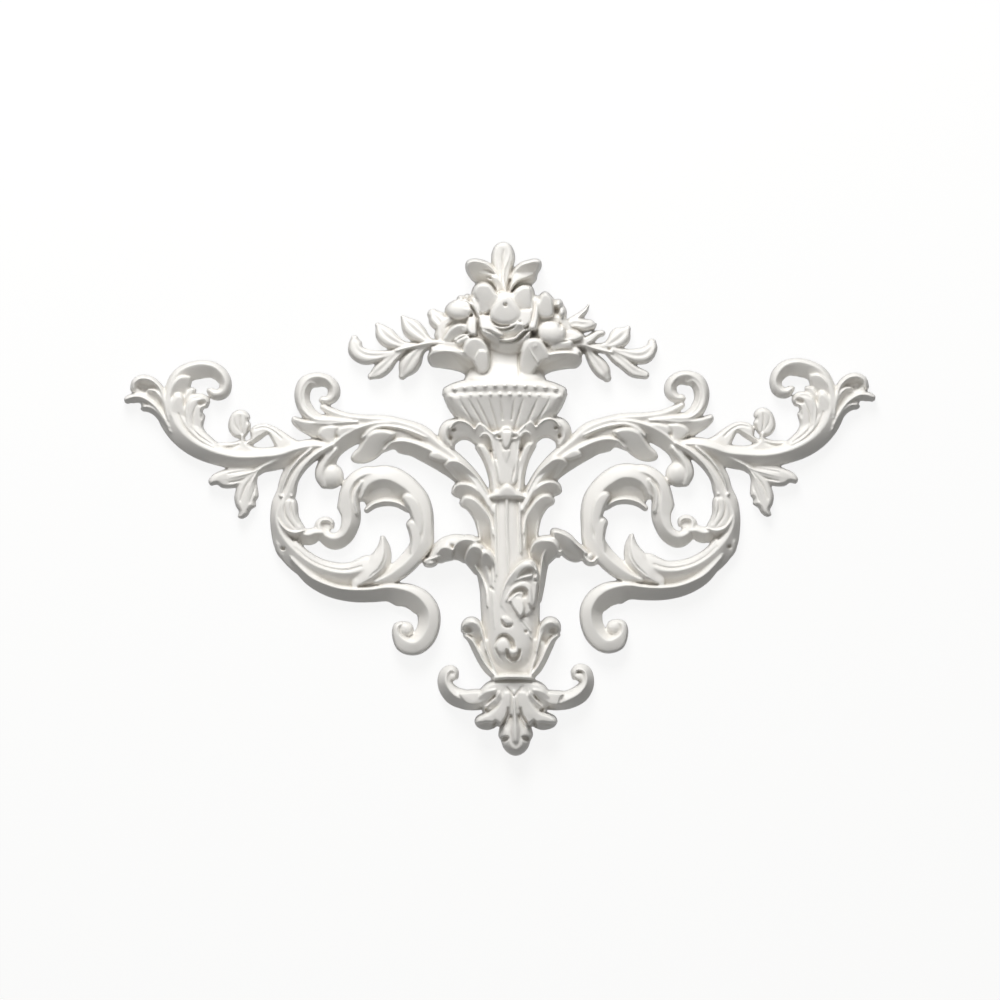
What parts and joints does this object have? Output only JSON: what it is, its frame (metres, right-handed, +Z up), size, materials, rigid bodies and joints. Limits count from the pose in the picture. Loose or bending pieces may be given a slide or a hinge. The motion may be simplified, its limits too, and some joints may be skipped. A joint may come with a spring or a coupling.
{
  "type": "wall applique ornament",
  "caption": "Cast relief ornament for a wall: a flower vase on a tapering stem, scrolled acanthus arms to both sides, leafy wings and a pendant below, with a flat back.",
  "frame": {"origin": "centre of the fixing place on the flat back, behind the collar of the stem", "axes": "+X along the width to the viewer's right, +Y into the wall, +Z up; the front faces -Y and the back is the plane y = 0"},
  "size_m": [0.7521, 0.0494, 0.5154],
  "materials": {
    "applique": "white primed cast polyurethane with a satin surface"
  },
  "bodies": {
    "root": {"applique": "applique"}
  },
  "joints": []
}
